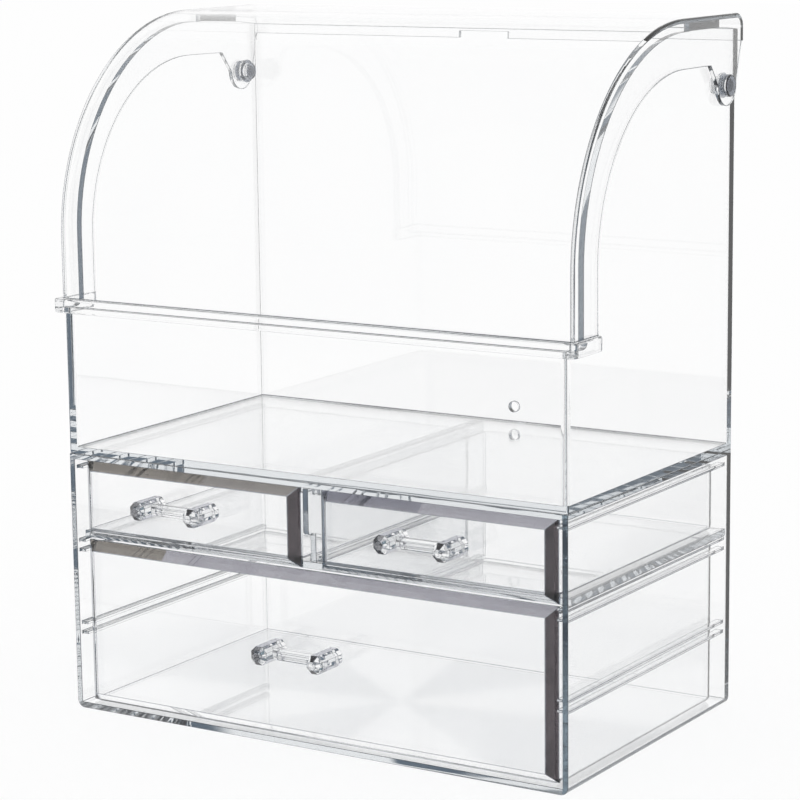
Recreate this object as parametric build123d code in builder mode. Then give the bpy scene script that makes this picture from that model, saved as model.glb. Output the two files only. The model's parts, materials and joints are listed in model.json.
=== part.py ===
"""Clear dustproof makeup organizer: drawer cabinet, display case and swing-up hood.

Millimetres, +Z up. The front faces -Y. The origin is the middle of the cabinet's underside.
Every piece is clear injection-moulded plastic.
"""
import os

from build123d import *

# Cabinet -----------------------------------------------------------------------------------------
width = 240.0
depth = 143.0
wall = 2.5
floor_thickness = 2.6
top_plate_thickness = 2.4
bottom_corner_radius = 3.5
upright_corner_radius = 1.0

# Rails: thin rib pairs on the side walls, one pair for each tier
tier_count = 3
tier_pitch = 36.2
lowest_rail_top = 38.0
rail_pair_height = 5.5
rib_thickness = 1.2
rib_depth = 3.2
rib_front_setback = 1.5
rib_rear_gap = 2.6
rail_below_cabinet_top = 0.9

# Shelf and divider
shelf_thickness = 3.0
shelf_tier = 2
shelf_side_clearance = 0.3
shelf_rear_clearance = 0.5
divider_thickness = 2.6
divider_slot_clearance = 0.15
divider_top_clearance = 0.25
divider_rear_setback = 0.5
shelf_guide_height = 2.5
hanging_guide_height = 4.0
nose_height = 19.5
nose_radius = 2.4

# Drawers
front_thickness = 5.0
front_bevel = 4.0
front_rail_clearance = 0.4
front_edge_clearance = 0.3
front_floor_clearance = 0.7
front_shelf_clearance = 0.5
centre_gap = 10.0
bin_wall = 1.8
bin_floor = 1.8
bin_rear_gap = 5.5
bin_corner_radius = 2.8
bin_inner_radius = 1.6
bin_below_front = 3.0

# Handles
handle_spacing = 27.0
post_across_flats = 7.6
post_length = 17.5
post_front_cut = 2.1
post_rear_cut = 1.1
bar_across_flats = 4.8
handle_above_middle = 2.6

# Display case
case_floor = 2.7
case_front_height = 62.7
case_corner_radius = 1.0
case_inner_radius = 1.4
side_front_inset = 10.5
side_arc_radius = 84.5
side_step_radius = 3.0
side_top_below_hood = 5.2
rear_top_below_hood = 6.5
side_slope_start_ahead_of_rear = 14.0
rear_hole_diameter = 4.6
rear_hole_from_middle = 16.3
rear_hole_above_floor = 6.3
rest_pad_length = 27.0
rest_pad_ahead_of_rear = 18.0
rest_pad_gap = 0.2

# Hood
hood_thickness = 1.8
hood_side_gap = 0.25
hood_front_inset = 0.8
hood_arc_radius = 91.5
hood_straight_height = 27.7
hood_rear_overhang = 3.5
hood_rear_radius = 5.5
hood_edge_radius = 1.3
flange_width = 20.0
rear_lip_height = 11.5
rear_notch_width = 24.0
rear_notch_height = 3.5
lip_height = 6.0
lip_drop = 2.5
lip_ahead_of_case = 2.7
lip_beside_hood = 2.6
lip_wrap = 21.0
lip_corner_radius = 3.0
lip_front_gap = 0.3
lip_edge_radius = 0.9

# Hinges
pivot_ahead_of_rear = 11.5
pivot_below_top = 28.9
ear_radius = 8.3
ear_shoulder_ahead = 15.5
pin_diameter = 5.0
pin_running_clearance = 0.05
pin_head_diameter = 9.2
pin_head_thickness = 1.7
pin_head_gap = 0.05
pin_head_edge = 0.5
cap_diameter = 10.4
cap_flange_thickness = 1.2
cap_hub_diameter = 7.4
cap_hub_length = 2.2
pin_end_recess = 0.6

# Places that follow from the sizes above ---------------------------------------------------------
front = -depth / 2
rear = depth / 2
inner_half = width / 2 - wall
inner_rear = rear - wall
rail_tops = [lowest_rail_top + tier * tier_pitch for tier in range(tier_count)]
cabinet_height = rail_tops[-1] + rail_below_cabinet_top
top_plate_underside = cabinet_height - top_plate_thickness
rail_half = inner_half - rib_depth
shelf_bottom = rail_tops[shelf_tier - 1]
shelf_top = shelf_bottom + shelf_thickness
drawer_half = rail_half - front_rail_clearance
bin_rear = inner_rear - bin_rear_gap
divider_slot_half = divider_thickness / 2 + divider_slot_clearance

case_floor_top = cabinet_height + case_floor
case_front_top = cabinet_height + case_front_height
hood_front = front + hood_front_inset
hood_arc_y = hood_front + hood_arc_radius
hood_arc_z = case_front_top + hood_straight_height
hood_top = hood_arc_z + hood_arc_radius
hood_rear = rear + hood_rear_overhang
rear_lip_bottom = hood_top - rear_lip_height
hood_inner_half = width / 2 + hood_side_gap
hood_outer_half = hood_inner_half + hood_thickness
side_top = hood_top - side_top_below_hood
rear_top = hood_top - rear_top_below_hood
pivot_y = rear - pivot_ahead_of_rear
pivot_z = hood_top - pivot_below_top


def span(low, high):
    """Middle and length of a stretch, for a rectangle that runs from low to high."""
    return (low + high) / 2, high - low


def block(x_span, y_span, z_span, mode=Mode.ADD):
    """A rectangular block between two places on each axis."""
    middle_x, size_x = span(*x_span)
    middle_y, size_y = span(*y_span)
    middle_z, size_z = span(*z_span)
    with Locations((middle_x, middle_y, middle_z)):
        Box(size_x, size_y, size_z, mode=mode)


def save(piece, name):
    """Label a finished piece and write its STEP file."""
    piece.part.label = name
    export_step(piece.part, f"parts/{name}.step")


os.makedirs("parts", exist_ok=True)

# Cabinet shell: a tube of floor, sides and top plate, closed behind and open in front -------------
with BuildPart() as cabinet_shell:
    with BuildSketch(Plane.XZ.offset(-front)) as cabinet_outline:
        with Locations((0, cabinet_height / 2)):
            Rectangle(width, cabinet_height)
        fillet(cabinet_outline.vertices().group_by(Axis.Y)[0], radius=bottom_corner_radius)
    extrude(amount=-depth)
    rear_uprights = cabinet_shell.edges().filter_by(Axis.Z).group_by(Axis.Y)[-1]
    fillet(rear_uprights, radius=upright_corner_radius)
    block((-inner_half, inner_half), (front, inner_rear), (floor_thickness, top_plate_underside),
          mode=Mode.SUBTRACT)
    for rail_top in rail_tops:
        for rib_top in (rail_top, rail_top - rail_pair_height + rib_thickness):
            for side in (-1, 1):
                ends = sorted((side * rail_half, side * (inner_half + wall / 2)))
                block(ends, (front + rib_front_setback, inner_rear - rib_rear_gap),
                      (rib_top - rib_thickness, rib_top))
    for side in (-1, 1):
        ends = sorted((side * divider_slot_half, side * (divider_slot_half + rib_thickness)))
        block(ends, (front + front_thickness + rib_front_setback, inner_rear - rib_rear_gap),
              (top_plate_underside - hanging_guide_height, top_plate_underside + wall / 2))
save(cabinet_shell, "cabinet_shell")

# Shelf under the small drawers, with a low guide for the divider ---------------------------------
with BuildPart() as mid_shelf:
    shelf_half = inner_half - shelf_side_clearance
    shelf_front = front + front_thickness + front_edge_clearance
    shelf_rear = inner_rear - shelf_rear_clearance
    block((-shelf_half, shelf_half), (shelf_front, shelf_rear), (shelf_bottom, shelf_top))
    for side in (-1, 1):
        ends = sorted((side * divider_slot_half, side * (divider_slot_half + rib_thickness)))
        block(ends, (shelf_front + rib_front_setback, shelf_rear - divider_rear_setback),
              (shelf_bottom + shelf_thickness / 2, shelf_top + shelf_guide_height))
save(mid_shelf, "mid_shelf")

# Divider: an upright plate with a round-ended nose that reaches the cabinet's front ---------------
with BuildPart() as centre_divider:
    divider_top = top_plate_underside - divider_top_clearance
    plate_front = front + front_thickness + front_edge_clearance
    plate_rear = inner_rear - divider_rear_setback
    with BuildSketch(Plane.YZ.offset(-divider_thickness / 2)) as divider_outline:
        with BuildLine():
            Polyline((front, divider_top), (plate_rear, divider_top), (plate_rear, shelf_top),
                     (plate_front, shelf_top), (plate_front, divider_top - nose_height),
                     (front, divider_top - nose_height), close=True)
        make_face()
        nose_corner = divider_outline.vertices().group_by(Axis.Y)[1].sort_by(Axis.X)[0]
        fillet(nose_corner, radius=nose_radius)
    extrude(amount=divider_thickness)
save(centre_divider, "centre_divider")


def drawer(left, right, bin_bottom, front_bottom, front_top):
    """One drawer moulding: an open box whose thick front has a mitred bevel all round."""
    box_front = front + front_thickness
    with BuildPart() as moulding:
        block((left, right), (box_front, bin_rear), (bin_bottom, front_top - bin_below_front))
        rear_uprights = moulding.edges().filter_by(Axis.Z).group_by(Axis.Y)[-1]
        fillet(rear_uprights, radius=bin_corner_radius)
        underside_edges = moulding.faces().sort_by(Axis.Z)[0].edges().sort_by(Axis.Y)[1:]
        fillet(underside_edges, radius=bin_corner_radius)
        with BuildSketch(Plane.XZ.offset(-front)):
            middle_x, panel_width = span(left, right)
            middle_z, panel_height = span(front_bottom, front_top)
            with Locations((middle_x, middle_z)):
                Rectangle(panel_width, panel_height)
        extrude(amount=-front_thickness)
        chamfer(moulding.faces().sort_by(Axis.Y)[0].edges(), length=front_bevel)
        with BuildSketch(Plane.XY.offset(bin_bottom + bin_floor)):
            hollow_middle_x, hollow_width = span(left + bin_wall, right - bin_wall)
            hollow_middle_y, hollow_depth = span(box_front, bin_rear - bin_wall)
            with Locations((hollow_middle_x, hollow_middle_y)):
                RectangleRounded(hollow_width, hollow_depth, bin_inner_radius)
        extrude(amount=front_top - bin_bottom, mode=Mode.SUBTRACT)
    return moulding


small_front_bottom = shelf_bottom + front_shelf_clearance
small_front_top = top_plate_underside - front_edge_clearance
large_front_bottom = floor_thickness + front_floor_clearance
large_front_top = shelf_bottom - front_edge_clearance

drawer_left = drawer(-drawer_half, -centre_gap / 2, shelf_top, small_front_bottom, small_front_top)
save(drawer_left, "drawer_left")
drawer_right = drawer(centre_gap / 2, drawer_half, shelf_top, small_front_bottom, small_front_top)
save(drawer_right, "drawer_right")
drawer_large = drawer(-drawer_half, drawer_half, floor_thickness, large_front_bottom, large_front_top)
save(drawer_large, "drawer_large")


def handle(middle_x, middle_z):
    """One handle moulding: two octagonal posts with cut gem ends and an octagonal bar between."""
    with BuildPart() as moulding:
        with BuildSketch(Plane.XZ.offset(-front)):
            with Locations((middle_x, middle_z)), GridLocations(handle_spacing, 0, 2, 1):
                RegularPolygon(post_across_flats / 2, 8, major_radius=False, rotation=22.5)
        extrude(amount=post_length)
        post_fronts = moulding.faces().filter_by(Axis.Y).group_by(Axis.Y)[0]
        post_backs = moulding.faces().filter_by(Axis.Y).group_by(Axis.Y)[-1]
        chamfer(post_fronts.edges(), length=post_front_cut)
        chamfer(post_backs.edges(), length=post_rear_cut)
        with BuildSketch(Plane.YZ.offset(middle_x - handle_spacing / 2)):
            with Locations((front - post_length / 2, middle_z)):
                RegularPolygon(bar_across_flats / 2, 8, major_radius=False, rotation=22.5)
        extrude(amount=handle_spacing)
    return moulding


small_handle_z = (small_front_bottom + small_front_top) / 2 + handle_above_middle
large_handle_z = (large_front_bottom + large_front_top) / 2 + handle_above_middle
small_middle = (drawer_half + centre_gap / 2) / 2

handle_left = handle(-small_middle, small_handle_z)
save(handle_left, "handle_left")
handle_right = handle(small_middle, small_handle_z)
save(handle_right, "handle_right")
handle_large = handle(0, large_handle_z)
save(handle_large, "handle_large")

# Display case: tray with a low front, quarter-round sides and a tall rear wall --------------------
with BuildPart() as upper_case:
    with BuildSketch(Plane.YZ.offset(-width / 2)) as side_outline:
        side_front = front + side_front_inset
        arc_y = side_front + side_arc_radius
        arc_z = side_top - side_arc_radius
        slope_start = rear - side_slope_start_ahead_of_rear
        with BuildLine():
            Polyline((side_front, arc_z), (side_front, case_front_top), (front, case_front_top),
                     (front, cabinet_height), (rear, cabinet_height), (rear, rear_top),
                     (slope_start, side_top), (arc_y, side_top))
            CenterArc((arc_y, arc_z), side_arc_radius, 90, 90)
        make_face()
        inner_step = side_outline.vertices().sort_by_distance((side_front, case_front_top))[0]
        fillet(inner_step, radius=side_step_radius)
    extrude(amount=width)
    corner_uprights = upper_case.edges().filter_by(Axis.Z).group_by(Axis.Y)
    fillet(corner_uprights[0] + corner_uprights[-1], radius=case_corner_radius)
    with BuildSketch(Plane.XY.offset(case_floor_top)):
        middle_y, hollow_depth = span(front + wall, inner_rear)
        with Locations((0, middle_y)):
            RectangleRounded(2 * inner_half, hollow_depth, case_inner_radius)
    extrude(until=Until.LAST, mode=Mode.SUBTRACT)
    for pad_x_span in ((-width / 2, -inner_half), (inner_half, width / 2)):
        pad_rear = rear - rest_pad_ahead_of_rear
        pad_top = hood_top - hood_thickness - rest_pad_gap
        block(pad_x_span, (pad_rear - rest_pad_length, pad_rear), (side_top - wall, pad_top))
    with BuildSketch(Plane.XZ.offset(-rear)):
        with Locations((rear_hole_from_middle, case_floor_top + rear_hole_above_floor)):
            Circle(rear_hole_diameter / 2)
    extrude(amount=2 * wall, mode=Mode.SUBTRACT)
    with BuildSketch(Plane.YZ.offset(-width / 2)):
        with Locations((pivot_y, pivot_z)):
            Circle(pin_diameter / 2)
    extrude(amount=width, mode=Mode.SUBTRACT)
save(upper_case, "upper_case")


def hood_outline(inset):
    """The closed outline under the hood's side line, with that line moved inwards by inset."""
    line_front = hood_front + inset
    line_top = hood_top - inset
    line_rear = hood_rear - inset
    corner_y = hood_rear - hood_rear_radius
    corner_z = hood_top - hood_rear_radius
    Line((line_front, case_front_top), (line_front, hood_arc_z))
    CenterArc((hood_arc_y, hood_arc_z), hood_arc_radius - inset, 90, 90)
    Line((hood_arc_y, line_top), (corner_y, line_top))
    CenterArc((corner_y, corner_z), hood_rear_radius - inset, 0, 90)
    Polyline((line_rear, corner_z), (line_rear, case_front_top), (line_front, case_front_top))


# Lip band: a proud rounded strip round the hood's foot, open behind ------------------------------
with BuildPart() as lip_band:
    with BuildSketch(Plane.XY.offset(case_front_top - lip_drop)):
        band_half = hood_outer_half + lip_beside_hood
        middle_y, band_depth = span(front - lip_ahead_of_case, front + lip_wrap)
        with Locations((0, middle_y)):
            RectangleRounded(2 * band_half, band_depth, lip_corner_radius)
    extrude(amount=lip_height)
    rims = lip_band.edges().group_by(Axis.Z)
    fillet(rims[0] + rims[-1], radius=lip_edge_radius)
    block((-hood_inner_half, hood_inner_half), (front - lip_front_gap, front + 2 * lip_wrap),
          (case_front_top - 2 * lip_drop, case_front_top), mode=Mode.SUBTRACT)

# Hood: curved sheet, side flanges with hinge ears, lip band and rear lip -------------------------
with BuildPart() as hood:
    with BuildSketch(Plane.YZ.offset(-hood_outer_half)):
        with BuildLine():
            hood_outline(0)
        make_face()
    extrude(amount=2 * hood_outer_half)
    for side_face in hood.faces().filter_by(Axis.X):
        fillet(side_face.edges().sort_by(Axis.Z)[1:], radius=hood_edge_radius)
    add(lip_band.part)
    with BuildSketch(Plane.YZ.offset(-hood_inner_half)):
        with BuildLine():
            hood_outline(hood_thickness)
        make_face()
    extrude(amount=2 * hood_inner_half, mode=Mode.SUBTRACT)
    with BuildSketch(Plane.YZ.offset(-hood_outer_half)):
        flange_y = hood_front + flange_width
        flange_top = hood_top - flange_width
        shoulder_y = pivot_y - ear_shoulder_ahead
        behind = hood_rear + hood_thickness
        with BuildLine():
            Line((flange_y, case_front_top), (flange_y, hood_arc_z))
            CenterArc((hood_arc_y, hood_arc_z), hood_arc_radius - flange_width, 90, 90)
            Polyline((hood_arc_y, flange_top), (shoulder_y, flange_top),
                     (pivot_y - ear_radius, pivot_z))
            CenterArc((pivot_y, pivot_z), ear_radius, 180, 180)
            Polyline((pivot_y + ear_radius, pivot_z), (hood_rear - hood_thickness, rear_lip_bottom),
                     (behind, rear_lip_bottom), (behind, case_front_top), (flange_y, case_front_top))
        make_face()
    extrude(amount=2 * hood_outer_half, mode=Mode.SUBTRACT)
    with BuildSketch(Plane.XZ.offset(-hood_rear)):
        with Locations((0, rear_lip_bottom)):
            Rectangle(rear_notch_width, 2 * rear_notch_height)
    extrude(amount=2 * hood_thickness, mode=Mode.SUBTRACT)
    with BuildSketch(Plane.YZ.offset(-hood_outer_half)):
        with Locations((pivot_y, pivot_z)):
            Circle(pin_diameter / 2 + pin_running_clearance)
    extrude(amount=2 * hood_outer_half, mode=Mode.SUBTRACT)
save(hood, "hood")


def hinge_pin(side):
    """Headed pin from outside the hood's ear to inside the case's side wall."""
    with BuildPart() as pin:
        head_under = hood_outer_half + pin_head_gap
        shank_end = inner_half - cap_flange_thickness - cap_hub_length + pin_end_recess
        with BuildSketch(Plane.YZ.offset(side * head_under)):
            with Locations((pivot_y, pivot_z)):
                Circle(pin_head_diameter / 2)
        extrude(amount=side * pin_head_thickness)
        rim = pin.faces().sort_by(Axis.X)[-1 if side > 0 else 0].edges()
        chamfer(rim, length=pin_head_edge)
        with BuildSketch(Plane.YZ.offset(side * shank_end)):
            with Locations((pivot_y, pivot_z)):
                Circle(pin_diameter / 2)
        extrude(amount=side * (head_under - shank_end))
    return pin


def hinge_cap(side):
    """Flanged cap that presses on the pin's end inside the case."""
    with BuildPart() as cap:
        with BuildSketch(Plane.YZ.offset(side * inner_half)):
            with Locations((pivot_y, pivot_z)):
                Circle(cap_diameter / 2)
        extrude(amount=-side * cap_flange_thickness)
        with BuildSketch(Plane.YZ.offset(side * (inner_half - cap_flange_thickness))):
            with Locations((pivot_y, pivot_z)):
                Circle(cap_hub_diameter / 2)
        extrude(amount=-side * cap_hub_length)
        with BuildSketch(Plane.YZ.offset(side * inner_half)):
            with Locations((pivot_y, pivot_z)):
                Circle(pin_diameter / 2)
        bore_depth = cap_flange_thickness + cap_hub_length - pin_end_recess
        extrude(amount=-side * bore_depth, mode=Mode.SUBTRACT)
    return cap


for side, side_name in ((-1, "left"), (1, "right")):
    save(hinge_pin(side), f"hinge_pin_{side_name}")
    save(hinge_cap(side), f"hinge_cap_{side_name}")
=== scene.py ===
"""Looks of a clear dustproof makeup organizer: drawer cabinet, display case and swing-up hood.

Every piece is polished clear plastic. Its looks come from real refraction in closed solids, a
little absorption, painted shade on rounded edges, painted reflections of the room's dark parts on
bevels, facets, pad sides and hinge faces, and a white studio with dark gaps that only light
mirrored several times sees. Lengths are in metres, +Z up, the front faces -Y.
"""
from __future__ import annotations

import json
import logging
import math
from dataclasses import dataclass
from enum import Enum

import bmesh
import bpy
from mathutils import Matrix, Vector

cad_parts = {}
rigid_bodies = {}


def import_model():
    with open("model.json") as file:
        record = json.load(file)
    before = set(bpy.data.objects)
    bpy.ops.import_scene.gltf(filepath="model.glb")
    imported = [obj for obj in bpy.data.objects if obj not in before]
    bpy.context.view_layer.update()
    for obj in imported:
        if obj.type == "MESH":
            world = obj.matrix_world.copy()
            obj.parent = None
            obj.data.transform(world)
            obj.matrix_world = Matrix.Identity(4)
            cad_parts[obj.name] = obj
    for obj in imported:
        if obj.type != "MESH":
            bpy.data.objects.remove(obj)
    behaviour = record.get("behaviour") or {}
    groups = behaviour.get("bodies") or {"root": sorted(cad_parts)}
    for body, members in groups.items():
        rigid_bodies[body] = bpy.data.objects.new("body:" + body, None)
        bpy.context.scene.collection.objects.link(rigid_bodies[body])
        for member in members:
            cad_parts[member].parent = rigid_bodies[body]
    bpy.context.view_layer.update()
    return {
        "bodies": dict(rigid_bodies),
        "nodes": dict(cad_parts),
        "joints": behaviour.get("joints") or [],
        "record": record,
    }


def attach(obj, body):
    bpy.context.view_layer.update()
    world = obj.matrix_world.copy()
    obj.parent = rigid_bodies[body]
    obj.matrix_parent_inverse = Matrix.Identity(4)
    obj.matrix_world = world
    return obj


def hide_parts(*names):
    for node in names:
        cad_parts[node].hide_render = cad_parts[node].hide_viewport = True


log = logging.getLogger("organizer")

# Long ways inside the plastic end in black where fewer steps of light are followed.
LIGHT_PATH_DEPTH = 48
LIGHT_PATH_LIMITS = (
    "max_bounces", "glossy_bounces", "transmission_bounces", "transparent_max_bounces"
)

# Colour layer of painted shade and painted reflections: dark rounded edges, and the room's dark
# parts on bevels, facets, pad sides and hinge faces. It darkens the plastic's colour.
PAINTED_SHADE_LAYER = "painted_face_shade"
ROUNDED = "rounded"

# FAR is past the object on every side, SEAT_GAP how far a resting face is drawn back, and
# SEAT_REACH how far a point may be from its seat's place. All three are in metres.
FAR = 1.0
WELD = 1e-6
SEAT_GAP = 0.00006
SEAT_REACH = 1e-5

# Faces that meet at less than FLAT_ANGLE become one, and edges past SHARP_ANGLE are rounded.
FLAT_ANGLE = math.radians(0.6)
SHARP_ANGLE = math.radians(28.0)
EDGE_SEGMENTS = 2
EDGE_PROFILE = 0.5
NORMAL_WEIGHT = 100
OCTAGON_CORNER = 1.0 / math.cos(math.pi / 8.0)

Colour = tuple[float, float, float]
Place = tuple[float, float, float]
Number = float | bpy.types.NodeSocket

CLEAR: Colour = (1.0, 1.0, 1.0)
# Painted shade on rounded edges, in place of the dark lines that refraction gives there.
PAINTED_EDGE_SHADE: Colour = (0.03, 0.036, 0.044)


class Ray(Enum):
    """Kinds of light ray that a material can tell apart, by Light Path's output names."""

    CAMERA = "Is Camera Ray"
    SHADOW = "Is Shadow Ray"
    DIFFUSE = "Is Diffuse Ray"
    GLOSSY = "Is Glossy Ray"
    TRANSMISSION = "Is Transmission Ray"


class Side(Enum):
    """The two sides of the organizer, seen from the front."""

    LEFT = -1
    RIGHT = 1


# Node helpers -------------------------------------------------------------------------------------
def feed(
    tree: bpy.types.NodeTree,
    slot: bpy.types.NodeSocket,
    value: float | tuple[float, ...] | bpy.types.NodeSocket,
) -> None:
    """Set an input socket to a value, or link it to the socket that gives one.

    Args:
        tree: the node tree.
        slot: the input socket.
        value: the plain value or the socket.
    """
    if isinstance(value, bpy.types.NodeSocket):
        tree.links.new(value, slot)
    else:
        slot.default_value = value


def calc(
    tree: bpy.types.NodeTree, operation: str, first: Number, second: Number = 0.0
) -> bpy.types.NodeSocket:
    """Add a Math node.

    Args:
        tree: the shader or geometry node tree.
        operation: the Math node's operation.
        first: the first number or socket.
        second: the second number or socket.

    Returns:
        The result's socket.
    """
    maths = tree.nodes.new("ShaderNodeMath")
    maths.operation = operation
    for slot, value in zip(maths.inputs, (first, second)):
        feed(tree, slot, value)
    return maths.outputs["Value"]


def mix_colours(
    tree: bpy.types.NodeTree,
    factor: Number,
    first: Colour | bpy.types.NodeSocket,
    second: Colour | bpy.types.NodeSocket,
    blend: str = "MIX",
) -> bpy.types.NodeSocket:
    """Mix two colours, each a plain colour or a socket.

    Args:
        tree: the node tree.
        factor: the share of the second colour.
        first: the colour where the factor is 0.
        second: the colour where the factor is 1.
        blend: the Mix node's blend type.

    Returns:
        The mixed colour's socket.
    """
    mix = tree.nodes.new("ShaderNodeMix")
    mix.data_type = "RGBA"
    mix.blend_type = blend
    feed(tree, mix.inputs["Factor"], factor)
    slots = [slot for slot in mix.inputs if slot.type == "RGBA"]
    for slot, colour in zip(slots, (first, second)):
        plain = isinstance(colour, tuple)
        feed(tree, slot, (*colour, 1.0) if plain else colour)
    return next(socket for socket in mix.outputs if socket.type == "RGBA")


def soft_step(
    tree: bpy.types.NodeTree, value: bpy.types.NodeSocket, low: float, high: float
) -> bpy.types.NodeSocket:
    """Make a mask that goes from 0 at low to 1 at high.

    Args:
        tree: the node tree that needs the mask.
        value: the socket that is tested.
        low: where the mask is 0.
        high: where the mask is 1.

    Returns:
        The mask's socket.
    """
    step = tree.nodes.new("ShaderNodeMapRange")
    step.interpolation_type = "SMOOTHSTEP"
    step.inputs["From Min"].default_value = min(low, high)
    step.inputs["From Max"].default_value = max(low, high)
    step.inputs["To Min"].default_value = float(low > high)
    step.inputs["To Max"].default_value = float(high > low)
    tree.links.new(value, step.inputs["Value"])
    return step.outputs["Result"]


def mirrored_rays(tree: bpy.types.NodeTree, few: float, many: float) -> bpy.types.NodeSocket:
    """Make a mask that grows with how often light was mirrored on or in clear walls on its way.

    Args:
        tree: the node tree that needs the mask.
        few: the number of mirrorings at which the mask is 0.
        many: the number of mirrorings from which the mask is 1.

    Returns:
        The mask's socket.
    """
    paths = tree.nodes.new("ShaderNodeLightPath")
    grow = tree.nodes.new("ShaderNodeMapRange")
    grow.inputs["From Min"].default_value = few
    grow.inputs["From Max"].default_value = many
    tree.links.new(paths.outputs["Glossy Depth"], grow.inputs["Value"])
    return grow.outputs["Result"]


def seen_rays(tree: bpy.types.NodeTree) -> bpy.types.NodeSocket:
    """Make a mask that is 1 for rays by which something is seen, straight or through clear walls.

    Args:
        tree: the node tree that needs the mask.

    Returns:
        The mask's socket.
    """
    paths = tree.nodes.new("ShaderNodeLightPath").outputs
    straight = calc(tree, "MAXIMUM", paths[Ray.CAMERA.value], paths[Ray.GLOSSY.value])
    return calc(tree, "MAXIMUM", straight, paths[Ray.TRANSMISSION.value])


# Shared shader groups -----------------------------------------------------------------------------
def new_group(name: str, inputs: dict[str, float], outputs: tuple[str, ...]) -> bpy.types.NodeTree:
    """Start a shader node group with float sockets.

    Args:
        name: the group's name.
        inputs: each input's name and its usual value.
        outputs: the outputs' names.

    Returns:
        The group's node tree, with its input and output nodes in place.
    """
    tree = bpy.data.node_groups.new(name, "ShaderNodeTree")
    for label, value in inputs.items():
        socket = tree.interface.new_socket(label, in_out="INPUT", socket_type="NodeSocketFloat")
        socket.default_value = value
    for label in outputs:
        tree.interface.new_socket(label, in_out="OUTPUT", socket_type="NodeSocketFloat")
    tree.nodes.new("NodeGroupInput").name = "in"
    tree.nodes.new("NodeGroupOutput").name = "out"
    return tree


def mould_ripple_group(detail: float = 1.0, flow_scale: float = 7.0) -> bpy.types.NodeTree:
    """Build the group that gives the faint waviness of a moulded wall.

    Args:
        detail: the fineness of the waves.
        flow_scale: the scale of the broad flow marks under the waves.

    Returns:
        A group with inputs Scale and Flow and output Height.
    """
    tree = new_group("mould_ripple", {"Scale": 30.0, "Flow": 0.3}, ("Height",))
    link = tree.links.new
    place = tree.nodes.new("ShaderNodeTexCoord")
    waves = tree.nodes.new("ShaderNodeTexNoise")
    waves.inputs["Detail"].default_value = detail
    flow = tree.nodes.new("ShaderNodeTexNoise")
    flow.inputs["Scale"].default_value = flow_scale
    flow.inputs["Detail"].default_value = 0.0
    both = tree.nodes.new("ShaderNodeMath")
    both.operation = "MULTIPLY_ADD"
    link(place.outputs["Object"], waves.inputs["Vector"])
    link(place.outputs["Object"], flow.inputs["Vector"])
    link(tree.nodes["in"].outputs["Scale"], waves.inputs["Scale"])
    link(flow.outputs["Fac"], both.inputs[0])
    link(tree.nodes["in"].outputs["Flow"], both.inputs[1])
    link(waves.outputs["Fac"], both.inputs[2])
    link(both.outputs["Value"], tree.nodes["out"].inputs["Height"])
    return tree


def handling_film_group(
    patch_scale: float = 18.0, detail: float = 3.0, full_cover: float = 0.8
) -> bpy.types.NodeTree:
    """Build the group that gives the patchy film that handling leaves on polished plastic.

    Args:
        patch_scale: the scale of the patches.
        detail: the fineness of the patches' borders.
        full_cover: the noise value from which the film is full.

    Returns:
        A group with inputs Cover, Smooth and Dull and outputs Film and Roughness.
    """
    inputs = {"Cover": 0.4, "Smooth": 0.0, "Dull": 0.02}
    tree = new_group("handling_film", inputs, ("Film", "Roughness"))
    link = tree.links.new
    place = tree.nodes.new("ShaderNodeTexCoord")
    patches = tree.nodes.new("ShaderNodeTexNoise")
    patches.inputs["Scale"].default_value = patch_scale
    patches.inputs["Detail"].default_value = detail
    cover = tree.nodes.new("ShaderNodeMapRange")
    cover.inputs["From Max"].default_value = full_cover
    rough = tree.nodes.new("ShaderNodeMapRange")
    link(place.outputs["Object"], patches.inputs["Vector"])
    link(patches.outputs["Fac"], cover.inputs["Value"])
    link(tree.nodes["in"].outputs["Cover"], cover.inputs["From Min"])
    link(cover.outputs["Result"], tree.nodes["out"].inputs["Film"])
    link(cover.outputs["Result"], rough.inputs["Value"])
    link(tree.nodes["in"].outputs["Smooth"], rough.inputs["To Min"])
    link(tree.nodes["in"].outputs["Dull"], rough.inputs["To Max"])
    link(rough.outputs["Result"], tree.nodes["out"].inputs["Roughness"])
    return tree


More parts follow.
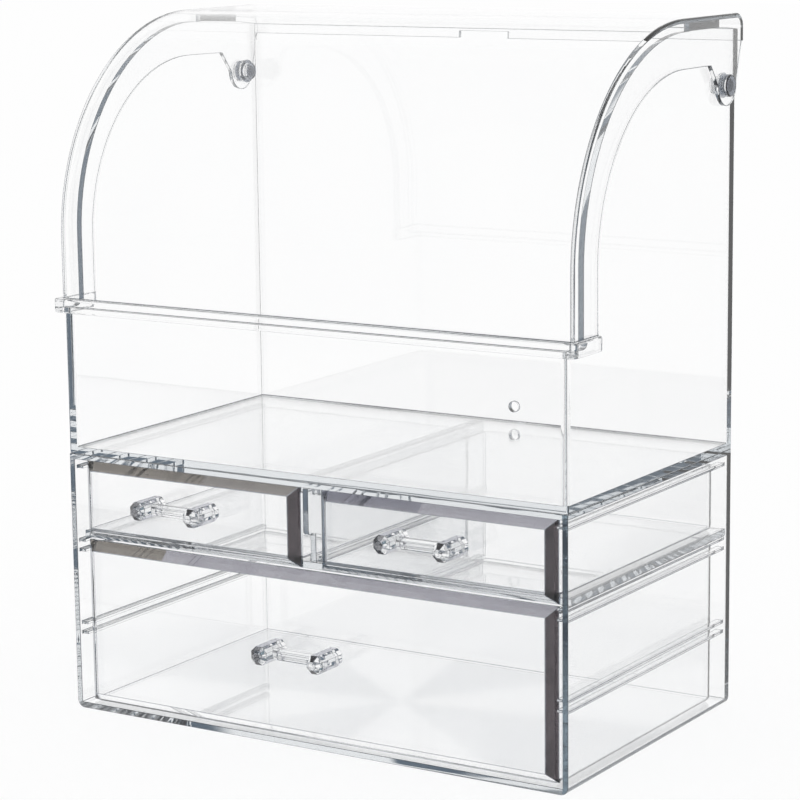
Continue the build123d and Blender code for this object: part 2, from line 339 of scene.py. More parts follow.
# Finish -------------------------------------------------------------------------------------------
@dataclass(frozen=True)
class ClearPlastic:
    """Polished clear plastic of one moulding."""

    slot: str
    tint: Colour = (1.0, 1.0, 1.0)
    film_tint: Colour = (0.992, 0.993, 0.995)
    refraction: float = 1.53
    dull_roughness: float = 0.012
    ripple_scale: float = 30.0
    ripple_height: float = 0.00002
    open_wall_tint: Colour = (0.965, 0.97, 0.975)
    body_colour: Colour = (0.20, 0.29, 0.36)
    body_density: float = 2.2

    def build(self, groups: dict[str, bpy.types.NodeTree]) -> bpy.types.Material:
        """Make the material.

        Args:
            groups: the shared node groups by name.

        Returns:
            The material, with its nodes.
        """
        material = bpy.data.materials.new(self.slot)
        material.use_nodes = True
        tree = material.node_tree
        nodes, link = tree.nodes, tree.links.new
        shader = nodes["Principled BSDF"]
        shader.inputs["Transmission Weight"].default_value = 1.0
        shader.inputs["IOR"].default_value = self.refraction

        # Painted shade and painted reflections from the colour layer darken the plastic's colour.
        shade = nodes.new("ShaderNodeAttribute")
        shade.attribute_name = PAINTED_SHADE_LAYER
        film = nodes.new("ShaderNodeGroup")
        film.node_tree = groups["handling_film"]
        film.inputs["Dull"].default_value = self.dull_roughness
        link(film.outputs["Roughness"], shader.inputs["Roughness"])
        clean = mix_colours(tree, film.outputs["Film"], self.tint, self.film_tint)
        with_painted_shade = mix_colours(tree, 1.0, clean, shade.outputs["Color"], "MULTIPLY")
        link(with_painted_shade, shader.inputs["Base Color"])

        ripple = nodes.new("ShaderNodeGroup")
        ripple.node_tree = groups["mould_ripple"]
        ripple.inputs["Scale"].default_value = self.ripple_scale
        bump = nodes.new("ShaderNodeBump")
        bump.inputs["Distance"].default_value = self.ripple_height
        link(ripple.outputs["Height"], bump.inputs["Height"])
        link(bump.outputs["Normal"], shader.inputs["Normal"])

        self._let_light_through(tree, shader)
        self._absorb_inside(tree)
        return material

    def _let_light_through(self, tree: bpy.types.NodeTree, shader: bpy.types.Node) -> None:
        """Let rays that gather light go straight through, so that clear walls cast no dark shadow.

        Args:
            tree: the material's node tree.
            shader: the plastic's shader.
        """
        nodes, link = tree.nodes, tree.links.new
        paths = nodes.new("ShaderNodeLightPath").outputs
        gathers = calc(tree, "MAXIMUM", paths[Ray.SHADOW.value], paths[Ray.DIFFUSE.value])
        open_wall = nodes.new("ShaderNodeBsdfTransparent")
        open_wall.inputs["Color"].default_value = (*self.open_wall_tint, 1.0)
        mix = nodes.new("ShaderNodeMixShader")
        link(gathers, mix.inputs["Fac"])
        link(shader.outputs["BSDF"], mix.inputs[1])
        link(open_wall.outputs["BSDF"], mix.inputs[2])
        link(mix.outputs["Shader"], nodes["Material Output"].inputs["Surface"])

    def _absorb_inside(self, tree: bpy.types.NodeTree) -> None:
        """Make long ways inside the plastic cool grey, as its edges show.

        Args:
            tree: the material's node tree.
        """
        body = tree.nodes.new("ShaderNodeVolumeAbsorption")
        body.inputs["Color"].default_value = (*self.body_colour, 1.0)
        body.inputs["Density"].default_value = self.body_density
        tree.links.new(body.outputs["Volume"], tree.nodes["Material Output"].inputs["Volume"])


# Shapes -------------------------------------------------------------------------------------------
@dataclass(frozen=True)
class Seat:
    """A face that rests on another piece, drawn back a hair so that light meets two surfaces."""

    axis: int
    place: float
    gap: float = SEAT_GAP


@dataclass(frozen=True)
class Cut:
    """A plane along which flat faces are split, so that a part of them can take its own painted
    shade.
    """

    axis: int
    place: float


@dataclass(frozen=True)
class PaintedShade:
    """The painted shade or painted reflection on the faces that lie in a box and look one way."""

    colour: Colour
    way: Place
    low: Place = (-FAR, -FAR, -FAR)
    high: Place = (FAR, FAR, FAR)
    least_cosine: float = 0.97

    def covers(self, face: bpy.types.MeshPolygon) -> bool:
        """Tell whether a face takes this painted shade.

        Args:
            face: a face of a finished piece.

        Returns:
            True where the face's middle is in the box and it looks the painted shade's way.
        """
        inside = all(low <= at <= high for low, at, high in zip(self.low, face.center, self.high))
        return inside and face.normal.dot(Vector(self.way)) > self.least_cosine


def paint(mesh: bpy.types.Mesh, painted_shades: tuple[PaintedShade, ...], edge_painted_shade: Colour = PAINTED_EDGE_SHADE) -> None:
    """Write each face's painted shade on its corners: painted edge shade on rounded edges, white
    where none is meant.

    Args:
        mesh: the finished mesh of a piece.
        painted_shades: the painted shades and painted reflections, of which the first that covers a
            face counts.
        edge_painted_shade: the painted shade of the rounded edges.
    """
    rounded = [mark.value for mark in mesh.attributes[ROUNDED].data]
    mesh.attributes.remove(mesh.attributes[ROUNDED])
    layer = mesh.color_attributes.new(name=PAINTED_SHADE_LAYER, type="FLOAT_COLOR", domain="CORNER")
    for face in mesh.polygons:
        tint = next((tint.colour for tint in painted_shades if tint.covers(face)), CLEAR)
        # Rounded edges take the painted edge shade.
        if rounded[face.index]:
            tint = edge_painted_shade
        for corner in face.loop_indices:
            layer.data[corner].color = (*tint, 1.0)


def merge_flats(shape: bmesh.types.BMesh) -> None:
    """Merge a shape's triangles into its flat faces."""
    bmesh.ops.dissolve_limit(
        shape, angle_limit=FLAT_ANGLE, verts=shape.verts, edges=shape.edges
    )


def weigh_normals(piece: bpy.types.Object) -> None:
    """Let large faces set the shading of their corners, so that flat walls shine flat.

    Args:
        piece: the piece, whose mesh is replaced by one with set normals.
    """
    modifier = piece.modifiers.new("weigh", "WEIGHTED_NORMAL")
    modifier.mode = "FACE_AREA"
    modifier.weight = NORMAL_WEIGHT
    modifier.keep_sharp = True
    view = bpy.context.evaluated_depsgraph_get()
    finished = bpy.data.meshes.new_from_object(piece.evaluated_get(view))
    piece.modifiers.remove(modifier)
    piece.data = finished


def in_needle(line: bmesh.types.BMEdge, needle: float) -> bool:
    """Tell whether an edge ends in a face's needle-thin corner, which can't be rounded.

    Args:
        line: the edge.
        needle: the angle below which a corner counts as a needle.

    Returns:
        True where a corner at one of its ends is thinner than that.
    """
    corners = [corner for loop in line.link_loops for corner in (loop, loop.link_loop_next)]
    return any(corner.calc_angle() < needle for corner in corners)


def finish_shape(
    shape: bmesh.types.BMesh,
    name: str,
    edge: float,
    cuts: tuple[Cut, ...] = (),
    needle: float = 0.0,
) -> bpy.types.Object:
    """Round a shape's edges by a hair, split it along its cuts and make it an object.

    Args:
        shape: the closed shape, which is freed.
        name: the piece's name.
        edge: the width of the rounding.
        cuts: the planes along which flat faces are split.
        needle: the angle below which a face's corner keeps its edges unrounded.

    Returns:
        The finished piece, smooth on curved walls and sharp at corners.
    """
    mark = shape.faces.layers.int.new(ROUNDED)
    sharp = [line for line in shape.edges if line.calc_face_angle(0.0) > SHARP_ANGLE]
    rounding = bmesh.ops.bevel(
        shape,
        geom=[line for line in sharp if not in_needle(line, needle)],
        offset=edge,
        offset_type="OFFSET",
        segments=EDGE_SEGMENTS,
        profile=EDGE_PROFILE,
        affect="EDGES",
        clamp_overlap=False,
    )
    for face in rounding["faces"]:
        face[mark] = 1
    for cut in cuts:
        middle, normal = Vector(), Vector()
        middle[cut.axis], normal[cut.axis] = cut.place, 1.0
        everything = [*shape.verts, *shape.edges, *shape.faces]
        bmesh.ops.bisect_plane(
            shape, geom=everything, dist=WELD, plane_co=middle, plane_no=normal
        )
    for face in shape.faces:
        face.smooth = True
    for line in shape.edges:
        line.smooth = line.calc_face_angle(0.0) < SHARP_ANGLE
    mesh = bpy.data.meshes.new(name)
    shape.to_mesh(mesh)
    shape.free()
    piece = bpy.data.objects.new(name, mesh)
    bpy.context.scene.collection.objects.link(piece)
    weigh_normals(piece)
    return piece


@dataclass(frozen=True)
class Moulding:
    """One moulded piece: its node's solid with softened edges and smooth curved walls."""

    node: str
    name: str
    body: str
    edge: float = 0.0002
    seats: tuple[Seat, ...] = ()
    cuts: tuple[Cut, ...] = ()
    painted_shades: tuple[PaintedShade, ...] = ()
    needle: float = 0.0
    # Painted shade for the rounded edges.
    edge_painted_shade: Colour = PAINTED_EDGE_SHADE

    def build(self, frame: dict) -> bpy.types.Object:
        """Make the piece from its node's solid.


        Returns:
            The piece, which stands for its node and rides on its body.
        """
        shape = bmesh.new()
        shape.from_mesh(frame["nodes"][self.node].data)
        bmesh.ops.remove_doubles(shape, verts=shape.verts, dist=WELD)
        merge_flats(shape)
        for seat in self.seats:
            for corner in shape.verts:
                if abs(corner.co[seat.axis] - seat.place) < SEAT_REACH:
                    corner.co[seat.axis] += seat.gap
        piece = finish_shape(shape, self.name, self.edge, self.cuts, self.needle)
        paint(piece.data, self.painted_shades, self.edge_painted_shade)
        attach(piece, self.body)
        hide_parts(self.node)
        return piece


# Geometry node trees ------------------------------------------------------------------------------
def start_geometry_tree(name: str, sizes: tuple[str, ...]) -> bpy.types.NodeTree:
    """Start a geometry node tree with named sizes and a finish.

    Args:
        name: the tree's name.
        sizes: the names of its size inputs.

    Returns:
        The tree, with input and output nodes named in and out.
    """
    tree = bpy.data.node_groups.new(name, "GeometryNodeTree")
    tree.interface.new_socket("Geometry", in_out="OUTPUT", socket_type="NodeSocketGeometry")
    for size in sizes:
        tree.interface.new_socket(size, in_out="INPUT", socket_type="NodeSocketFloat")
    tree.interface.new_socket("Finish", in_out="INPUT", socket_type="NodeSocketMaterial")
    tree.nodes.new("NodeGroupInput").name = "in"
    tree.nodes.new("NodeGroupOutput").name = "out"
    return tree


def end_geometry_tree(tree: bpy.types.NodeTree, shape: bpy.types.NodeSocket) -> None:
    """End a geometry node tree in Realize Instances and Set Material.

    Args:
        tree: the tree.
        shape: the socket of the shape that it has made.
    """
    real = tree.nodes.new("GeometryNodeRealizeInstances")
    dress = tree.nodes.new("GeometryNodeSetMaterial")
    tree.links.new(shape, real.inputs["Geometry"])
    tree.links.new(real.outputs["Geometry"], dress.inputs["Geometry"])
    tree.links.new(tree.nodes["in"].outputs["Finish"], dress.inputs["Material"])
    tree.links.new(dress.outputs["Geometry"], tree.nodes["out"].inputs["Geometry"])


def lathe(
    tree: bpy.types.NodeTree, sides: int, profile: tuple[tuple[Number, Number], ...]
) -> bpy.types.NodeSocket:
    """Add the nodes that turn a profile round the X axis into a closed solid with flat sides.

    Args:
        tree: the geometry node tree.
        sides: how many sides the solid has round its axis.
        profile: pairs of place along X and radius, from the lowest place to the highest; the first
            and the last radius are 0.

    Returns:
        The solid's socket.
    """
    nodes, link = tree.nodes, tree.links.new
    grid = nodes.new("GeometryNodeMeshGrid")
    grid.inputs["Vertices X"].default_value = len(profile)
    grid.inputs["Vertices Y"].default_value = sides + 1
    index = nodes.new("GeometryNodeInputIndex").outputs["Index"]
    row = calc(tree, "FLOOR", calc(tree, "DIVIDE", calc(tree, "ADD", index, 0.5), sides + 1.0))
    column = calc(tree, "SUBTRACT", index, calc(tree, "MULTIPLY", row, sides + 1.0))
    turn = calc(tree, "MULTIPLY", calc(tree, "ADD", column, 0.5), math.tau / sides)
    chosen = []
    for part in range(2):
        switch = nodes.new("GeometryNodeIndexSwitch")
        switch.data_type = "FLOAT"
        while len(switch.index_switch_items) < len(profile):
            switch.index_switch_items.new()
        link(row, switch.inputs["Index"])
        slots = [slot for slot in switch.inputs if slot.type == "VALUE"]
        for slot, step in zip(slots, profile):
            feed(tree, slot, step[part])
        chosen.append(switch.outputs[0])
    along, radius = chosen
    point = nodes.new("ShaderNodeCombineXYZ")
    link(along, point.inputs["X"])
    link(calc(tree, "MULTIPLY", radius, calc(tree, "COSINE", turn)), point.inputs["Y"])
    link(calc(tree, "MULTIPLY", radius, calc(tree, "SINE", turn)), point.inputs["Z"])
    place = nodes.new("GeometryNodeSetPosition")
    link(grid.outputs["Mesh"], place.inputs["Geometry"])
    link(point.outputs["Vector"], place.inputs["Position"])
    merge = nodes.new("GeometryNodeMergeByDistance")
    merge.inputs["Distance"].default_value = WELD
    link(place.outputs["Geometry"], merge.inputs["Geometry"])
    flip = nodes.new("GeometryNodeFlipFaces")
    link(merge.outputs["Geometry"], flip.inputs["Mesh"])
    return flip.outputs["Mesh"]


def move(
    tree: bpy.types.NodeTree,
    shape: bpy.types.NodeSocket,
    place: tuple[Number, Number, Number],
    turn_z: float = 0.0,
) -> bpy.types.NodeSocket:
    """Add the nodes that turn a shape about Z and move it.

    Args:
        tree: the geometry node tree.
        shape: the shape's socket.
        place: the numbers or sockets of how far it goes along each axis.
        turn_z: the turn about Z in radians, before it is moved.

    Returns:
        The moved shape's socket.
    """
    shift = tree.nodes.new("ShaderNodeCombineXYZ")
    for slot, value in zip(shift.inputs, place):
        feed(tree, slot, value)
    transform = tree.nodes.new("GeometryNodeTransform")
    tree.links.new(shape, transform.inputs["Geometry"])
    tree.links.new(shift.outputs["Vector"], transform.inputs["Translation"])
    transform.inputs["Rotation"].default_value = (0.0, 0.0, turn_z)
    return transform.outputs["Geometry"]


def run_tree(
    tree: bpy.types.NodeTree, name: str, sizes: dict[str, float], finish: bpy.types.Material
) -> bmesh.types.BMesh:
    """Run a geometry node tree with its sizes and give back the plain shape.

    Args:
        tree: the tree.
        name: the name of what it makes.
        sizes: each size input's name and value.
        finish: the material that the tree sets.

    Returns:
        The shape, with its faces outwards.
    """
    maker = bpy.data.objects.new(name + "_maker", bpy.data.meshes.new(name + "_maker"))
    bpy.context.scene.collection.objects.link(maker)
    modifier = maker.modifiers.new(tree.name, "NODES")
    modifier.node_group = tree
    sockets = {
        item.name: item.identifier
        for item in tree.interface.items_tree
        if item.item_type == "SOCKET" and item.in_out == "INPUT"
    }
    for label, value in sizes.items():
        modifier[sockets[label]] = value
    modifier[sockets["Finish"]] = finish
    view = bpy.context.evaluated_depsgraph_get()
    mesh = bpy.data.meshes.new_from_object(maker.evaluated_get(view))
    maker.modifiers.remove(modifier)
    bpy.data.objects.remove(maker)
    shape = bmesh.new()
    shape.from_mesh(mesh)
    bpy.data.meshes.remove(mesh)
    bmesh.ops.recalc_face_normals(shape, faces=shape.faces)
    merge_flats(shape)
    return shape


# Sub-assemblies -----------------------------------------------------------------------------------
@dataclass(frozen=True)
class SubAssembly:
    """A group of pieces that share one finish."""

    finish: ClearPlastic

    def dress(self, pieces: list[bpy.types.Object], material: bpy.types.Material) -> None:
        """Give each piece its finish.

        Args:
            pieces: what build() returned.
            material: the finish's material.
        """
        for piece in pieces:
            piece.data.materials.clear()
            piece.data.materials.append(material)
            log.info("%s: %d faces, %s", piece.name, len(piece.data.polygons), material.name)


@dataclass(frozen=True)
class Cabinet(SubAssembly):
    """The lower case with its shelf plate and its divider plate."""

    front: float = -0.0715
    inner_half: float = 0.1175
    top: float = 0.1113
    shelf_underside: float = 0.0742
    shelf_top: float = 0.0772
    plane_slack: float = 0.0003
    # Painted shade, blue-grey, on the right wall's front edge, where refraction would show a dark
    # part of the room.
    front_edge_painted_shade: Colour = (0.05, 0.085, 0.115)

    def build(self, frame: dict) -> list[bpy.types.Object]:
        """Make the cabinet's walls and plates.


        Returns:
            The pieces.
        """
        # The right wall's front edge takes the painted shade.
        right_front_edge = PaintedShade(
            self.front_edge_painted_shade, (0.0, -1.0, 0.0),
            (self.inner_half, self.front - self.plane_slack, 0.0),
            (FAR, self.front + self.plane_slack, FAR),
        )
        return [
            Moulding(
                "cabinet_shell", "cabinet_walls", "case",
                seats=(Seat(2, self.top, -SEAT_GAP),),
                cuts=(Cut(0, -self.inner_half), Cut(0, self.inner_half)),
                painted_shades=(right_front_edge,),
            ).build(frame),
            Moulding(
                "mid_shelf", "shelf_plate", "case", seats=(Seat(2, self.shelf_underside),)
            ).build(frame),
            Moulding(
                "centre_divider", "divider_plate", "case", seats=(Seat(2, self.shelf_top),)
            ).build(frame),
        ]


@dataclass(frozen=True)
class DisplayCase(SubAssembly):
    """The tray with quarter-round sides, a tall rear wall and two rest pads for the hood."""

    floor: float = 0.1113
    side_top: float = 0.288
    pad_span: tuple[float, float] = (0.0265, 0.0535)
    pad_top: float = 0.2914
    # Painted shade, near black, on the left and right sides of the rest pads.
    pad_painted_shade: Colour = (0.004, 0.006, 0.008)

    def build(self, frame: dict) -> list[bpy.types.Object]:
        """Make the display case.


        Returns:
            The one piece.
        """
        # The pads' sides above the case's side walls take the painted shade.
        low = (-FAR, self.pad_span[0], self.side_top)
        high = (FAR, self.pad_span[1], self.pad_top)
        pad_sides = tuple(
            PaintedShade(self.pad_painted_shade, (float(side.value), 0.0, 0.0), low, high) for side in Side
        )
        return [Moulding(
            "upper_case", "display_case", "case", seats=(Seat(2, self.floor),),
            cuts=(Cut(2, self.side_top),), painted_shades=pad_sides,
        ).build(frame)]


@dataclass(frozen=True)
class SwingHood(SubAssembly):
    """The curved cover, which rests on the display case's front wall."""

    rest: float = 0.174

    def build(self, frame: dict) -> list[bpy.types.Object]:
        """Make the hood.


        Returns:
            The one piece.
        """
        hood = Moulding("hood", "swing_hood", "cover", seats=(Seat(2, self.rest),))
        return [hood.build(frame)]


@dataclass(frozen=True)
class Drawers(SubAssembly):
    """The two small drawers and the wide one, with wide bevels round their fronts."""

    front: float = -0.0715
    bevel_depth: float = 0.004
    shelf_top: float = 0.0772
    cabinet_floor: float = 0.0026
    needle: float = math.radians(15.0)
    # Painted reflections on the front bevels: each colour stands for the part of the room that a
    # bevel would mirror; black and blue_grey_reflection go on the side bevels.
    brown: Colour = (0.062, 0.053, 0.044)
    umber: Colour = (0.085, 0.075, 0.068)
    violet: Colour = (0.075, 0.074, 0.098)
    lilac: Colour = (0.155, 0.15, 0.18)
    blue_grey_reflection: Colour = (0.03, 0.05, 0.08)
    black: Colour = (0.007, 0.005, 0.006)
    # Painted shade on the drawers' rounded edges, paler than elsewhere.
    drawer_edge_painted_shade: Colour = (0.14, 0.15, 0.18)

    def bevels(self, change: float, top_left: Colour, top_right: Colour) -> tuple[PaintedShade, ...]:
        """List the painted reflections on one front's bevels, each painted as the part of the room
        that it would mirror.

        Args:
            change: how far along X the top bevel's painted reflection changes.
            top_left: the painted reflection on the top bevel's left stretch.
            top_right: the painted reflection on the rest of the top bevel.

        Returns:
            The painted reflections.
        """
        low, high = (-FAR, self.front, -FAR), (FAR, self.front + self.bevel_depth, FAR)
        slant = math.sqrt(0.5)
        return (
            PaintedShade(top_left, (0.0, -slant, slant), low, (change, high[1], high[2])),
            PaintedShade(top_right, (0.0, -slant, slant), low, high),
            PaintedShade(self.black, (slant, -slant, 0.0), low, high),
            PaintedShade(self.blue_grey_reflection, (-slant, -slant, 0.0), low, high),
        )

    def build(self, frame: dict) -> list[bpy.types.Object]:
        """Make the three drawers.


        Returns:
            The pieces.
        """
        # Each drawer's painted reflections on its top bevel, and where they change along X.
        plan = (
            ("left", "small_drawer_left", self.shelf_top, -0.052, self.brown, self.umber),
            ("right", "small_drawer_right", self.shelf_top, 0.053, self.violet, self.lilac),
            ("large", "wide_drawer", self.cabinet_floor, -0.073, self.brown, self.lilac),
        )
        return [
            Moulding(
                f"drawer_{place}", name, f"{place}_drawer", seats=(Seat(2, seat),),
                cuts=(Cut(0, change),), painted_shades=self.bevels(change, top_left, top_right),
                needle=self.needle, edge_painted_shade=self.drawer_edge_painted_shade,
            ).build(frame)
            for place, name, seat, change, top_left, top_right in plan
        ]


@dataclass(frozen=True)
class GemHandles(SubAssembly):
    """The three drawer handles: two octagonal posts with cut ends and an octagonal bar."""

    seat: float = -0.0715
    spacing: float = 0.027
    post_width: float = 0.0076
    post_length: float = 0.0175
    front_cut: float = 0.0021
    rear_cut: float = 0.0011
    bar_width: float = 0.0048
    sides: int = 8
    edge: float = 0.00008
    middles: tuple[tuple[str, float, float], ...] = (
        ("left", -0.05945, 0.09425), ("right", 0.05945, 0.09425), ("large", 0.0, 0.0412),
    )
    # Painted reflections on the handles' facets: dark and pale flashes in place of the room that
    # cut glass would show.
    black: Colour = (0.0006, 0.0006, 0.001)
    grey_reflection: Colour = (0.10, 0.10, 0.11)
    lilac: Colour = (0.36, 0.36, 0.42)
    blue_grey_reflection: Colour = (0.055, 0.095, 0.125)

    def tree(self) -> bpy.types.NodeTree:
        """Build the tree that makes one handle.

        Returns:
            The geometry node tree.
        """
        tree = start_geometry_tree("gem_handle", (
            "Spacing", "Post Width", "Post Length", "Front Cut", "Rear Cut", "Bar Width",
            "Middle X", "Middle Z", "Seat", "Seat Gap",
        ))
        size = tree.nodes["in"].outputs
        rim = calc(tree, "MULTIPLY", size["Post Width"], OCTAGON_CORNER / 2.0)
        bar_rim = calc(tree, "MULTIPLY", size["Bar Width"], OCTAGON_CORNER / 2.0)
        tip = calc(tree, "SUBTRACT", size["Seat"], size["Post Length"])
        rear = calc(tree, "SUBTRACT", size["Seat"], size["Seat Gap"])
        front_step = calc(tree, "MULTIPLY", size["Front Cut"], OCTAGON_CORNER)
        rear_step = calc(tree, "MULTIPLY", size["Rear Cut"], OCTAGON_CORNER)
        post = lathe(tree, self.sides, (
            (tip, 0.0),
            (tip, calc(tree, "SUBTRACT", rim, front_step)),
            (calc(tree, "ADD", tip, size["Front Cut"]), rim),
            (calc(tree, "SUBTRACT", size["Seat"], size["Rear Cut"]), rim),
            (rear, calc(tree, "SUBTRACT", rim, rear_step)),
            (rear, 0.0),
        ))
        half = calc(tree, "MULTIPLY", size["Spacing"], 0.5)
        start = calc(tree, "MULTIPLY", half, -1.0)
        bar_profile = ((start, 0.0), (start, bar_rim), (half, bar_rim), (half, 0.0))
        bar = lathe(tree, self.sides, bar_profile)
        middle = calc(tree, "MULTIPLY", size["Post Length"], 0.5)
        bar_y = calc(tree, "SUBTRACT", size["Seat"], middle)
        left_x = calc(tree, "ADD", size["Middle X"], start)
        right_x = calc(tree, "ADD", size["Middle X"], half)
        union = tree.nodes.new("GeometryNodeMeshBoolean")
        union.operation = "UNION"
        union.solver = "EXACT"
        parts = (
            move(tree, post, (left_x, 0.0, size["Middle Z"]), math.pi / 2),
            move(tree, post, (right_x, 0.0, size["Middle Z"]), math.pi / 2),
            move(tree, bar, (size["Middle X"], bar_y, size["Middle Z"])),
        )
        for part in parts:
            tree.links.new(part, union.inputs["Mesh 2"])
        end_geometry_tree(tree, union.outputs["Mesh"])
        return tree

    def facets(self, middle_x: float) -> tuple[PaintedShade, ...]:
        """List the painted reflections on one handle's facets: dark and pale flashes painted on, as
        cut glass shows them from the room.

        Args:
            middle_x: where the handle's middle is.

        Returns:
            The painted reflections.
        """
        inner = (self.spacing - self.post_width) / 2.0
        left, right = (-FAR, middle_x - inner), (middle_x + inner, FAR)
        front_cut, long_side, rear_cut = -math.sqrt(0.5), 0.0, math.sqrt(0.5)
        plan = (
            ((left,), -1.0, 0, self.grey_reflection),
            ((left,), front_cut, 90, self.grey_reflection),
            ((left,), front_cut, 135, self.black),
            ((left,), front_cut, 180, self.black),
            ((left, right), front_cut, 225, self.black),
            ((left, right), front_cut, 270, self.black),
            ((right,), front_cut, 90, self.black),
            ((left, right), long_side, 90, self.lilac),
            ((left, right), long_side, 135, self.lilac),
            ((left, right), long_side, 315, self.lilac),
            ((left, right), rear_cut, 45, self.blue_grey_reflection),
            ((left, right), rear_cut, 90, self.blue_grey_reflection),
            ((left, right), rear_cut, 0, self.grey_reflection),
        )
        painted_shades = []
        for posts, lean, degrees, colour in plan:
            turn = math.radians(degrees)
            reach = math.sqrt(1.0 - lean * lean)
            way = (math.cos(turn) * reach, lean, math.sin(turn) * reach)
            for low_x, high_x in posts:
                painted_shades.append(PaintedShade(colour, way, (low_x, -FAR, -FAR), (high_x, FAR, FAR)))
        return tuple(painted_shades)

    def build(self, frame: dict, material: bpy.types.Material) -> list[bpy.types.Object]:
        """Make the three handles.

        Args:
            material: the material that the tree sets.

        Returns:
            The pieces.
        """
        tree = self.tree()
        pieces = []
        for place, middle_x, middle_z in self.middles:
            sizes = {
                "Spacing": self.spacing, "Post Width": self.post_width,
                "Post Length": self.post_length, "Front Cut": self.front_cut,
                "Rear Cut": self.rear_cut, "Bar Width": self.bar_width,
                "Middle X": middle_x, "Middle Z": middle_z,
                "Seat": self.seat, "Seat Gap": SEAT_GAP,
            }
            name = f"gem_handle_{place}"
            piece = finish_shape(run_tree(tree, name, sizes, material), name, self.edge)
            paint(piece.data, self.facets(middle_x))
            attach(piece, f"{place}_drawer")
            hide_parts(f"handle_{place}")
            pieces.append(piece)
        return pieces


@dataclass(frozen=True)
class Hinges(SubAssembly):
    """The two hinges: a headed pin through ear and wall, and a cap pressed on inside."""

    pivot_y: float = 0.06
    pivot_z: float = 0.2643
    inner_half: float = 0.1175
    head_under: float = 0.1221
    head_radius: float = 0.0046
    head_thickness: float = 0.0017
    head_edge: float = 0.0005
    shank_radius: float = 0.0025
    flange_radius: float = 0.0052
    flange_thickness: float = 0.0012
    hub_radius: float = 0.0037
    hub_length: float = 0.0022
    end_recess: float = 0.0006
    sides: int = 24
    edge: float = 0.00006
    # Painted shade: grey on the flat faces across the pins and caps, near black on the heads'
    # slanted rims.
    painted_face_shade: Colour = (0.24, 0.26, 0.30)
    rim_painted_shade: Colour = (0.003, 0.003, 0.005)
    rim_cosine: float = 0.679

    def pin_tree(self) -> bpy.types.NodeTree:
        """Build the tree that makes a headed pin.

        Returns:
            The geometry node tree.
        """
        tree = start_geometry_tree("hinge_pin", (
            "End", "Shank Radius", "Head Under", "Head Radius", "Head Thickness", "Head Edge",
            "Pivot Y", "Pivot Z",
        ))
        size = tree.nodes["in"].outputs
        top = calc(tree, "ADD", size["Head Under"], size["Head Thickness"])
        pin = lathe(tree, self.sides, (
            (size["End"], 0.0),
            (size["End"], size["Shank Radius"]),
            (size["Head Under"], size["Shank Radius"]),
            (size["Head Under"], size["Head Radius"]),
            (calc(tree, "SUBTRACT", top, size["Head Edge"]), size["Head Radius"]),
            (top, calc(tree, "SUBTRACT", size["Head Radius"], size["Head Edge"])),
            (top, 0.0),
        ))
        end_geometry_tree(tree, move(tree, pin, (0.0, size["Pivot Y"], size["Pivot Z"])))
        return tree

    def cap_tree(self) -> bpy.types.NodeTree:
        """Build the tree that makes a flanged cap with a blind bore.

        Returns:
            The geometry node tree.
        """
        tree = start_geometry_tree("hinge_cap", (
            "Wall", "Flange Radius", "Flange Thickness", "Hub Radius", "Hub Length", "Bore Radius",
            "Bore End", "Pivot Y", "Pivot Z",
        ))
        size = tree.nodes["in"].outputs
        flange = calc(tree, "SUBTRACT", size["Wall"], size["Flange Thickness"])
        hub = calc(tree, "SUBTRACT", flange, size["Hub Length"])
        cap = lathe(tree, self.sides, (
            (hub, 0.0),
            (hub, size["Hub Radius"]),
            (flange, size["Hub Radius"]),
            (flange, size["Flange Radius"]),
            (size["Wall"], size["Flange Radius"]),
            (size["Wall"], size["Bore Radius"]),
            (size["Bore End"], size["Bore Radius"]),
            (size["Bore End"], 0.0),
        ))
        end_geometry_tree(tree, move(tree, cap, (0.0, size["Pivot Y"], size["Pivot Z"])))
        return tree

    def build(self, frame: dict, material: bpy.types.Material) -> list[bpy.types.Object]:
        """Make both pins and both caps.

        Args:
            material: the material that the trees set.

        Returns:
            The pieces.
        """
        pivot = {"Pivot Y": self.pivot_y, "Pivot Z": self.pivot_z}
        bore_end = self.inner_half - self.flange_thickness - self.hub_length + self.end_recess
        pin_sizes = {
            "End": bore_end + SEAT_GAP, "Shank Radius": self.shank_radius - SEAT_GAP,
            "Head Under": self.head_under, "Head Radius": self.head_radius,
            "Head Thickness": self.head_thickness, "Head Edge": self.head_edge, **pivot,
        }
        cap_sizes = {
            "Wall": self.inner_half - SEAT_GAP, "Flange Radius": self.flange_radius,
            "Flange Thickness": self.flange_thickness, "Hub Radius": self.hub_radius,
            "Hub Length": self.hub_length, "Bore Radius": self.shank_radius,
            "Bore End": bore_end, **pivot,
        }
        pin_tree, cap_tree = self.pin_tree(), self.cap_tree()
        pieces = []
        for side in Side:
            mirror = Matrix.Diagonal((float(side.value), 1.0, 1.0))
            way = (float(side.value), 0.0, 0.0)
            # Painted shade on the hinge faces and rims.
            painted_shades = (
                PaintedShade(self.painted_face_shade, way),
                PaintedShade(self.painted_face_shade, (-way[0], 0.0, 0.0)),
                PaintedShade(self.rim_painted_shade, way, least_cosine=self.rim_cosine),
            )
            for kind, tree, sizes in (("pin", pin_tree, pin_sizes), ("cap", cap_tree, cap_sizes)):
                name = f"rivet_{kind}_{side.name.lower()}"
                shape = run_tree(tree, name, sizes, material)
                bmesh.ops.transform(shape, matrix=mirror.to_4x4(), verts=shape.verts)
                bmesh.ops.recalc_face_normals(shape, faces=shape.faces)
                piece = finish_shape(shape, name, self.edge)
                paint(piece.data, painted_shades)
                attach(piece, "case")
                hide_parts(f"hinge_{kind}_{side.name.lower()}")
                pieces.append(piece)
        return pieces


